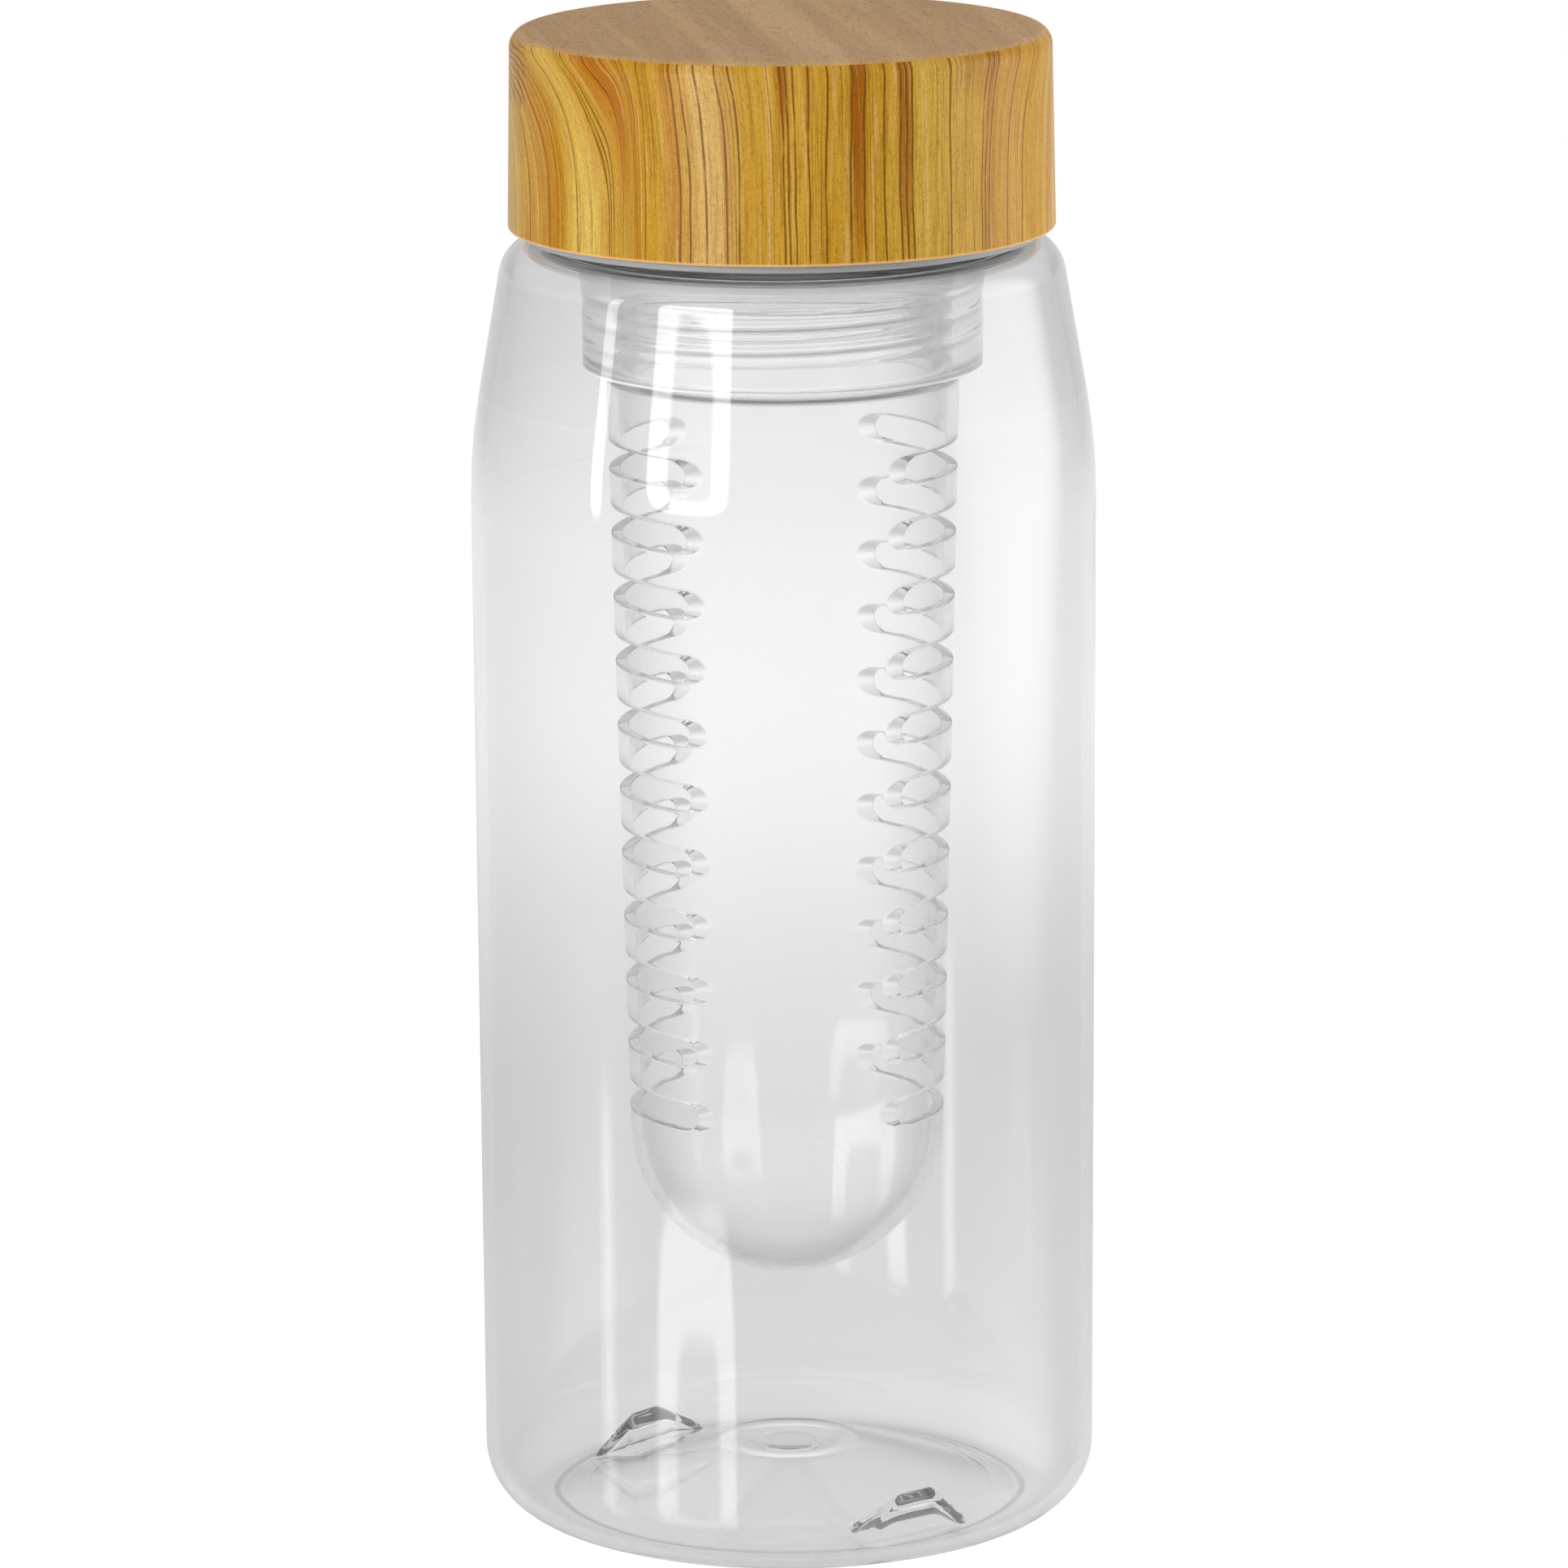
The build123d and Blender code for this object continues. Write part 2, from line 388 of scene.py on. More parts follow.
def natural_plastic():
    """Unpigmented plastic: milky in the cap, with painted shade greying its lip, and clear in the basket's
    collar.
    """
    material, tree, out = new_material("natural_plastic")
    place = node(tree, "ShaderNodeTexCoord").outputs["Object"]
    flat = node(tree, "ShaderNodeVectorMath", [(0, place), (1, (1, 1, 0))], operation="MULTIPLY").outputs[0]
    reach = node(tree, "ShaderNodeVectorMath", [(0, flat)], operation="LENGTH").outputs["Value"]
    height = node(tree, "ShaderNodeSeparateXYZ", [("Vector", place)]).outputs[2]
    collar = math_node(tree, "MULTIPLY", math_node(tree, "LESS_THAN", reach, (collar_radius + 0.5) * MM),
                       math_node(tree, "LESS_THAN", height, (gasket_top - 0.1) * MM))
    cloud = noise(tree, place, 60.0)
    # Painted shade: the lowest part of the skirt, its lip under the cap's edge, is greyed as if in shadow
    lip = blend_range(tree, height, (lip_height + 1.5) * MM, (lip_height + 1.2) * MM)
    milky = mixed_colour(tree, lip, mixed_colour(tree, cloud, milky_dark, milky_light), lip_shade_grey)
    tone = mixed_colour(tree, collar, milky, entry_tint(tree, collar_facing, collar_grazing))
    foot = blend_range(tree, height, (collar_foot + 0.6) * MM, (collar_foot + 0.2) * MM)
    tone = mixed_colour(tree, foot, tone, collar_foot_tone)
    clearness = math_node(tree, "MULTIPLY", blend_range(tree, collar, 0.0, 1.0, 0.0, collar_clearness),
                          blend_range(tree, foot, 0.0, 1.0, 1.0, collar_foot_share))
    rough = blend_range(tree, collar, 0.0, 1.0, milky_roughness, collar_roughness)
    plastic = node(tree, "ShaderNodeBsdfPrincipled", [
        ("Base Color", tone), ("Transmission Weight", clearness), ("Roughness", rough),
        ("IOR", liner_bending)])
    lit_through(tree, plastic.outputs[0], out, liner_shadow)
    return material


def silicone():
    """Soft white silicone with a fine matte grain."""
    material, tree, out = new_material("silicone")
    place = node(tree, "ShaderNodeTexCoord")
    grain = noise(tree, place.outputs["Object"], 1500.0)
    bump = node(tree, "ShaderNodeBump", [("Height", grain), ("Strength", 0.5), ("Distance", 0.00003)])
    tone = mixed_colour(tree, grain, silicone_dark, silicone_light)
    rubber = node(tree, "ShaderNodeBsdfPrincipled", [
        ("Base Color", tone), ("Roughness", 0.55), ("Subsurface Weight", 0.3),
        ("Subsurface Scale", 0.001), ("Normal", bump.outputs["Normal"])])
    tree.links.new(rubber.outputs[0], out.inputs["Surface"])
    return material


# Printed wood, in millimetres: the side is unrolled by its angle from the front, and the top is plain

cap_height = cap_top - cap_foot
# Turns of the grain between the top edge and the foot, as (degrees, from angle, to angle)
flow_turns = ((3.5, 10, -15), (18.5, -28, -39), (10, -42, -62), (-11, 33, 65), (-32, -100, -150),
              (11, 100, 150))
flow_power = 3.2
# Rust-coloured bands, as (angle, width, strength, share of the side's height that they reach down)
rust_bands = ((-39.5, 1.6, 0.5, 1.4), (-0.2, 1.6, 0.9, 0.45), (5.2, 1.0, 0.6, 0.6), (15.8, 3.0, 0.85, 1.3),
              (26.4, 3.2, 0.75, 1.3), (46.0, 14.0, 0.35, 0.3))
top_print_margin = 0.5
# Fine lines, even and drawn one by one, as angles from the front at the top edge
lines_around = 340
drawn_lines = (-87, -81.5, -79, -70, -59.5, -58.2, -56.5, -49, -43.5, -38, -33, -24.5, -22.4, -19, -14.5,
               -11.5, -0.5, 0.6, 2.2, 5.5, 9.5, 14.5, 17.2, 21.5, 25.2, 26.6, 28, 37.7, 50, 51.6, 53.2,
               62, 70, 96, 99, 118, 135, 138, 163, -164, -142, -139, -118, -97)
drawn_width = 0.34
olive, golden, orange = (0.49, 0.300, 0.035), (0.45, 0.235, 0.015), (0.36, 0.108, 0.000)
peach, umber, rust = (0.58, 0.360, 0.120), (0.14, 0.040, 0.002), (0.24, 0.058, 0.000)
pale_olive, honey = (0.60, 0.410, 0.090), (0.60, 0.360, 0.055)
# Broad paler zones of the side, as (angle, width, width of the soft edge, strength, colour)
pale_zones = ((-18.0, 9.0, 4.0, 0.7, peach), (2.0, 12.0, 5.0, 0.40, honey))
top_tan, top_brown, top_pale = (0.50, 0.315, 0.150), (0.40, 0.240, 0.105), (0.50, 0.34, 0.17)
top_grain_turn = -8.5
swirl_centre, swirl_drop = -36.7, 8.6
foot_orange = (0.85, 0.47, 0.14)
side_roughness, top_roughness = 0.28, 0.55


def wood_flow(tree, x, y, drop):
    """Angle at the top edge of the grain line through a place on the side. The lines fan out at the left."""
    angle = math_node(tree, "ARCTAN2", x, math_node(tree, "MULTIPLY", y, -1.0))
    rest = math_node(tree, "MAXIMUM", math_node(tree, "SUBTRACT", 1.0, drop), 0.0)
    eased = math_node(tree, "SUBTRACT", 1.0, math_node(tree, "POWER", rest, flow_power))
    turned = 0.0
    for amount, low, high in flow_turns:
        part = blend_range(tree, angle, radians(low), radians(high), 0.0, radians(amount))
        turned = math_node(tree, "ADD", turned, part)
    return math_node(tree, "SUBTRACT", angle, math_node(tree, "MULTIPLY", turned, eased))


def zone(tree, angle, centre, width, edge):
    """1 within a zone of grain angles round a centre, in degrees, with soft edges."""
    off = math_node(tree, "ABSOLUTE", math_node(tree, "SUBTRACT", angle, radians(centre)))
    return blend_range(tree, off, radians(width / 2 + edge), radians(width / 2 - edge))


def wood_side(tree, angle, height, drop):
    """Colour of the side's print: broad tones, bands and thin dark lines that follow the grain."""
    around = node(tree, "ShaderNodeCombineXYZ", [
        ("X", math_node(tree, "MULTIPLY", math_node(tree, "COSINE", angle), cap_top_radius)),
        ("Y", math_node(tree, "MULTIPLY", math_node(tree, "SINE", angle), cap_top_radius)),
        ("Z", math_node(tree, "MULTIPLY", height, 0.03))]).outputs[0]
    short = node(tree, "ShaderNodeVectorMath", [(0, around), (1, (1, 1, 14))],
                 operation="MULTIPLY").outputs[0]

    def painted(colour, mask, strength, paint):
        return mixed_colour(tree, math_node(tree, "MULTIPLY", mask, strength), colour, paint)

    tone = noise(tree, around, 0.10, 2.0)
    colour = mixed_colour(tree, blend_range(tree, tone, 0.40, 0.58), olive, golden)
    warm = noise(tree, around, 0.26, 3.0, 0.6)
    colour = painted(colour, blend_range(tree, warm, 0.50, 0.66), 0.5, orange)
    for centre, width, edge, strength, paint in pale_zones:
        colour = painted(colour, zone(tree, angle, centre, width, edge), strength, paint)
    colour = painted(colour, zone(tree, angle, -68.0, 13.0, 4.0), blend_range(tree, drop, 0.2, 0.8, 0.5, 0.9),
                     pale_olive)
    left = math_node(tree, "MULTIPLY", zone(tree, angle, -48.0, 12.0, 8.0), blend_range(tree, drop, 0.9, 0.1))
    colour = painted(colour, left, 0.85, orange)
    for centre, width, strength, reach in rust_bands:
        faded = math_node(tree, "MULTIPLY", zone(tree, angle, centre, width, 1.2),
                          blend_range(tree, drop, reach, reach / 4))
        colour = painted(colour, faded, strength, rust)

    streaks = noise(tree, around, 0.9, 4.0, 0.7)
    colour = painted(colour, blend_range(tree, streaks, 0.52, 0.70), 0.4, rust)
    colour = painted(colour, blend_range(tree, streaks, 0.48, 0.34), 0.55, peach)

    pores = noise(tree, short, 2.8, 2.0)
    hairs = blend_range(tree, noise(tree, around, 4.5, 1.0), 0.54, 0.64)
    colour = painted(colour, hairs, 0.28, umber)
    wander = math_node(tree, "MULTIPLY", noise(tree, around, 0.35, 1.0), 5.0)
    phase = math_node(tree, "MULTIPLY_ADD", angle, lines_around / (2 * pi), wander)
    rings = blend_range(tree, math_node(tree, "PINGPONG", phase, 0.5), 0.14, 0.04)
    cluster = blend_range(tree, noise(tree, around, 0.33, 2.0), 0.50, 0.58)
    drawn = math_node(tree, "MULTIPLY", math_node(tree, "MULTIPLY", rings, cluster), 0.7)
    waver = math_node(tree, "MULTIPLY_ADD", noise(tree, short, 0.12, 2.0), radians(2.4), -radians(1.2))
    place = math_node(tree, "ADD", angle, waver)
    for centre in drawn_lines:
        off = math_node(tree, "ABSOLUTE", math_node(tree, "SUBTRACT", place, radians(centre)))
        line = blend_range(tree, off, radians(drawn_width), radians(drawn_width / 3))
        drawn = math_node(tree, "MAXIMUM", drawn, line)
    broken = blend_range(tree, noise(tree, short, 0.5, 2.0), 0.30, 0.50, 0.6, 1.0)
    colour = painted(colour, math_node(tree, "MULTIPLY", drawn, broken), 0.85, umber)
    return painted(colour, blend_range(tree, pores, 0.54, 0.72), 0.30, umber)


def wood_swirl(tree, x, y, depth):
    """Short dark strokes that curl about a knot at the left near the top edge, by the depth below the top."""
    across = math_node(tree, "SUBTRACT", x, swirl_centre)
    down = math_node(tree, "SUBTRACT", depth, swirl_drop)
    wide = math_node(tree, "MULTIPLY", across, 1.3)
    place = node(tree, "ShaderNodeCombineXYZ", [("X", wide), ("Y", down)]).outputs[0]
    ring = node(tree, "ShaderNodeVectorMath", [(0, place)], operation="LENGTH").outputs["Value"]
    ripple = math_node(tree, "MULTIPLY", noise(tree, place, 0.7, 2.0), 1.2)
    wave = math_node(tree, "PINGPONG", math_node(tree, "ADD", ring, ripple), 0.45)
    strokes = blend_range(tree, wave, 0.24, 0.08)
    kept = math_node(tree, "MULTIPLY", blend_range(tree, across, 3.6, 2.4),
                     blend_range(tree, down, 1.0, -1.0))
    kept = math_node(tree, "MULTIPLY", kept, blend_range(tree, depth, 0.4, 1.4))
    front = math_node(tree, "LESS_THAN", y, 0.0)
    return math_node(tree, "MULTIPLY", math_node(tree, "MULTIPLY", strokes, kept), front)


def wood_top(tree, place):
    """Colour of the top's print: fine straight grain that runs from back to front, slightly aslant."""
    turned = node(tree, "ShaderNodeVectorRotate", [("Vector", place), ("Angle", radians(top_grain_turn))],
                  rotation_type="Z_AXIS").outputs[0]

    def stretched(share):
        scaled = node(tree, "ShaderNodeVectorMath", [(0, turned), (1, (1, share, 1))], operation="MULTIPLY")
        return scaled.outputs[0]

    long, short = stretched(0.05), stretched(0.22)
    broad = noise(tree, long, 0.14, 3.0, 0.6)
    colour = mixed_colour(tree, blend_range(tree, broad, 0.35, 0.65), top_tan, top_brown)
    pores = blend_range(tree, noise(tree, short, 3.0, 2.0), 0.56, 0.70)
    colour = mixed_colour(tree, math_node(tree, "MULTIPLY", pores, 0.45), colour, umber)
    pale = blend_range(tree, noise(tree, long, 1.1, 2.0), 0.52, 0.75)
    return mixed_colour(tree, math_node(tree, "MULTIPLY", pale, 0.3), colour, top_pale)


def wood_print():
    """Printed wood under a gloss coat: flowing grain round the side and a duller grain across the top."""
    material, tree, out = new_material("wood_print")
    place = node(tree, "ShaderNodeTexCoord").outputs["Object"]
    place = node(tree, "ShaderNodeVectorMath", [(0, place), ("Scale", 1 / MM)], operation="SCALE").outputs[0]
    axes = node(tree, "ShaderNodeSeparateXYZ", [("Vector", place)])
    x, y, height = (axes.outputs[i] for i in range(3))
    drop = math_node(tree, "DIVIDE", math_node(tree, "SUBTRACT", cap_top, height), cap_height)
    angle = wood_flow(tree, x, y, drop)
    side = wood_side(tree, angle, height, drop)
    depth = math_node(tree, "SUBTRACT", cap_top, height)
    side = mixed_colour(tree, math_node(tree, "MULTIPLY", wood_swirl(tree, x, y, depth), 0.8), side, umber)
    foot = blend_range(tree, height, cap_foot + 0.55, cap_foot + 0.25)
    side = mixed_colour(tree, math_node(tree, "MULTIPLY", foot, 0.85), side, foot_orange)
    upper = blend_range(tree, height, cap_top - top_print_margin - 0.05, cap_top - top_print_margin + 0.05)
    colour = mixed_colour(tree, upper, side, wood_top(tree, place))
    speck = blend_range(tree, noise(tree, place, 4.0, 1.0), 0.30, 0.70, 0.90, 1.10)
    colour = node(tree, "ShaderNodeVectorMath", [(0, colour), ("Scale", speck)], operation="SCALE").outputs[0]
    grain = noise(tree, place, 6.0, 2.0)
    bump = node(tree, "ShaderNodeBump", [("Height", grain), ("Strength", 0.25), ("Distance", 0.00002)])
    rough = blend_range(tree, upper, 0.0, 1.0, side_roughness, top_roughness)
    print_film = node(tree, "ShaderNodeBsdfPrincipled", [
        ("Base Color", colour), ("Roughness", rough), ("Specular IOR Level", 0.1),
        ("Normal", bump.outputs["Normal"])])
    tree.links.new(print_film.outputs[0], out.inputs["Surface"])
    return material


bottle_plastic = clear_plastic("clear_bottle", facing=1.0, grazing=0.88, roughness=0.02, wave_scale=45.0,
                               wave_depth=0.00004, density=2.0, bending=1.42)
basket_plastic = clear_plastic("clear_basket", facing=0.99, grazing=0.66, roughness=0.03, wave_scale=60.0,
                               wave_depth=0.00002, density=2.0, bending=1.34, clearness=0.97)
liner_plastic = natural_plastic()
gasket_rubber = silicone()
cap_print = wood_print()


# Bottle

base_zone_height = 12.0
lug_zone_height = 10.5
lug_absent_height = -50.0


def bottle_spacing(radius, height):
    """The longest step along the bottle's outline: fine on the base and the neck, for lugs and thread."""
    if height < base_zone_height and radius < bottle_foot_radius - heel_blend + 2:
        return base_fine_step
    return thread_step if height > shoulder_height + 1 else bottle_step


def bottle_side(inset, neck, blend_at_neck):
    """Corners of one face of the bottle from the axis up to the neck: outside, or inside at one wall in."""
    gate = base_rise - gate_depth + inset
    return [
        (0, gate, 0),
        (gate_radius, gate, gate_blend),
        (gate_radius + gate_slope_run, base_rise + inset, gate_crest_blend),
        (base_ring_radius - base_step_run, base_step_height + inset, base_step_blend + inset),
        (base_ring_radius, inset, base_step_blend),
        (bottle_foot_radius - inset, inset, heel_blend - inset),
        (bottle_radius - inset, shoulder_start_height, shoulder_start_blend - inset),
        (shoulder_radius - inset, shoulder_height - inset, shoulder_blend - inset),
        (neck, shoulder_height - inset, blend_at_neck),
    ]


def lug_lift(x, y, inset):
    """Height that the lugs give one face of the base at a place, or a height below it away from them."""
    lifted = np.full(x.shape, lug_absent_height)
    drop = bottle_wall - inset
    slope_up = (lug_peak_height - lug_foot_height) / lug_ramp_length
    slope_down = (lug_peak_height - lug_foot_height) / lug_back_length
    for direction in (radians(lug_direction), radians(lug_direction + lug_spread)):
        out = x * cos(direction) + y * sin(direction)
        along = -x * sin(direction) + y * cos(direction)
        ramp, back = lug_peak_height + slope_up * along, lug_peak_height - slope_down * along
        wedge = smooth_min(ramp, back, lug_peak_blend) - drop
        edges = [out - lug_inner_radius, lug_outer_radius - out]
        edges += [along + lug_ramp_length, lug_back_length - along]
        for edge in edges:
            wedge = smooth_min(wedge, lug_side_slope * (edge - drop), lug_edge_blend)
        lifted = np.maximum(lifted, wedge)
    return lifted


def build_bottle():
    """The blown bottle: one closed wall with its lugs and its neck thread."""
    bore = neck_radius - neck_wall
    outside = bottle_side(0, neck_radius, neck_root_blend)
    inside = bottle_side(bottle_wall, bore, neck_root_blend)
    rim = [(neck_radius, rim_height, rim_blend), (bore, rim_height, rim_blend)]
    path = outline(outside + rim + inside[::-1], bottle_spacing)
    top = int(np.argmax(path[:, 1]))
    outer_rows = (np.arange(len(path)) < top)[1:-1, None]

    def move(radius, height, turn):
        x, y = radius * np.cos(turn), radius * np.sin(turn)
        low = (height < lug_zone_height) & (radius < bottle_foot_radius - heel_blend + 3)
        inset = np.where(outer_rows, 0.0, bottle_wall) + np.zeros(radius.shape)
        lifted = lug_lift(x, y, inset)
        height = np.where(low, smooth_max(height, lifted, lug_edge_blend), height)
        neck = outer_rows & (height > shoulder_height + neck_root_blend)
        neck = neck & (radius > neck_radius - face_tolerance)
        ridge = thread_ridge(height, turn, shoulder_height + neck_thread_start, neck_thread_turns)
        radius = np.where(neck, radius + neck_thread_height * ridge, radius)
        return radius, height

    points, faces = lathe(path, bottle_segments, move=move)
    return mesh_object("bottle_body", points, faces, "bottle", ["bottle"], bottle_plastic)


# Gasket

def build_gasket():
    """The flat silicone ring between the bottle's rim and the liner."""
    corners = [
        (gasket_inner_radius, rim_height, gasket_blend),
        (gasket_outer_radius, rim_height, gasket_blend),
        (gasket_outer_radius, gasket_top, gasket_blend),
        (gasket_inner_radius, gasket_top, gasket_blend),
    ]
    path = outline(corners, lambda radius, height: short_step, closed=True)
    points, faces = lathe(path, gasket_segments, closed=True)
    return mesh_object("sealing_ring", points, faces, "seal", ["lid_gasket"], gasket_rubber)


# Cap

def build_shell():
    """The cap's printed cover."""
    corners = [
        (0, cap_top - cap_top_wall, 0),
        (cap_top_radius - cap_wall, cap_top - cap_top_wall, cap_edge_blend - cap_wall),
        (cap_foot_radius - cap_wall, cap_foot, cap_foot_blend),
        (cap_foot_radius, cap_foot, cap_foot_blend),
        (cap_top_radius, cap_top, cap_edge_blend),
        (0, cap_top, 0),
    ]
    path = outline(corners, lambda radius, height: cap_step)
    points, faces = lathe(path, cap_segments)
    return mesh_object("cap_cover", points, faces, "lid", ["cap_shell"], cap_print)


def build_liner():
    """The cap's inner moulding: top, threaded skirt with its lip, and the threaded collar."""
    top_corner = cap_top_radius - cap_wall - shell_clearance
    foot_corner = cap_foot_radius - cap_wall - shell_clearance
    under = gasket_top
    corners = [
        (0, under, 0),
        (collar_bore_radius, under, inside_corner_blend),
        (collar_bore_radius, collar_foot, collar_foot_blend),
        (collar_radius, collar_foot, collar_foot_blend),
        (collar_radius, under, inside_corner_blend / 2),
        (skirt_bore_radius, under, inside_corner_blend / 2),
        (skirt_bore_radius, lip_height, lip_blend),
        (foot_corner, lip_height, lip_blend),
        (top_corner, liner_top, liner_edge_blend),
        (0, liner_top, 0),
    ]

    def spacing(radius, height):
        return thread_step if radius < skirt_bore_radius + 0.5 and height < under - 0.1 else cap_step

    path = outline(corners, spacing)

    def move(radius, height, turn):
        bore = (radius < collar_bore_radius + face_tolerance) & (height > collar_foot + thread_margin)
        bore = bore & (height < under - 2 * thread_margin)
        ridge = thread_ridge(height, turn, collar_foot + collar_thread_start, collar_thread_turns)
        radius = np.where(bore, radius - collar_thread_height * ridge, radius)
        skirt = np.abs(radius - skirt_bore_radius) < face_tolerance
        skirt = skirt & (height > lip_height + thread_margin) & (height < under - thread_margin)
        start = shoulder_height + neck_thread_start - thread_pitch / 2
        ridge = thread_ridge(height, turn, start, neck_thread_turns)
        radius = np.where(skirt, radius - skirt_thread_height * ridge, radius)
        return radius, height

    points, faces = lathe(path, cap_segments, move=move)
    return mesh_object("cap_inner", points, faces, "lid", ["cap_liner"], liner_plastic)


# Basket

basket_columns = 192
cell_columns = 68
cell_rows = 8
patch_steps = 5
patch_crowding = 1.5
edge_steps = 3
dome_steps = 40
dome_centre = basket_bottom + infuser_dome_radius
slot_top = collar_foot - slot_first_drop
cells_top = slot_top + slot_pitch / 2


def basket_radius(height, inset):
    """Radius of the tube and its round bottom at a height: outside, or inside at one wall in."""
    draft = (infuser_top_radius - infuser_dome_radius) / (collar_foot - dome_centre)
    tube = infuser_dome_radius - inset + draft * (height - dome_centre)
    below = np.minimum(height - dome_centre, 0)
    dome = np.sqrt(np.maximum((infuser_dome_radius - inset) ** 2 - below ** 2, 0))
    return np.where(height < dome_centre, dome, tube)


def slot_outline(row, grown):
    """Points round a slot as (across, height), grown outwards, in the order of the edge of its cell."""
    height = slot_top - row * slot_pitch
    round_end = slot_height / 2
    half = float(basket_radius(height, 0)) * sin(radians(slot_half_angle)) - round_end
    quarter = pi / 4 * round_end
    top_length = 2 * half + 2 * quarter

    def along_top(distance):
        if distance < quarter:
            turn = 3 * pi / 4 - distance / round_end
            return -half, turn
        if distance > top_length - quarter:
            return half, (top_length - distance) / round_end + pi / 4
        return -half + distance - quarter, pi / 2

    spots = [along_top(top_length * i / cell_columns) for i in range(cell_columns)]
    spots += [(half, pi / 4 - pi / 2 * i / cell_rows) for i in range(cell_rows)]
    spots += [(-across, turn - pi) for across, turn in spots]
    reach = round_end + grown
    return np.array([(across + reach * cos(turn), height + reach * sin(turn)) for across, turn in spots])


class Mesher:
    """Collects the points and faces of a mesh."""

    def __init__(self):
        self.points, self.faces = [], []

    def add(self, points):
        first = len(self.points)
        self.points += [tuple(p) for p in points]
        return list(range(first, len(self.points)))

    def band(self, a, b, loop=True):
        count = len(a) if loop else len(a) - 1
        for i in range(count):
            j = (i + 1) % len(a)
            self.faces.append((a[i], b[i], b[j], a[j]))


def cell_edge(first_column, level):
    """Places round a cell as (column, level), from its top left corner to the right, down, back and up."""
    last_column = first_column + cell_columns
    top = [(first_column + i, level) for i in range(cell_columns)]
    right = [(last_column, level + i) for i in range(cell_rows)]
    bottom = [(last_column - i, level + cell_rows) for i in range(cell_columns)]
    left = [(first_column, level + cell_rows - i) for i in range(cell_rows)]
    return top + right + bottom + left


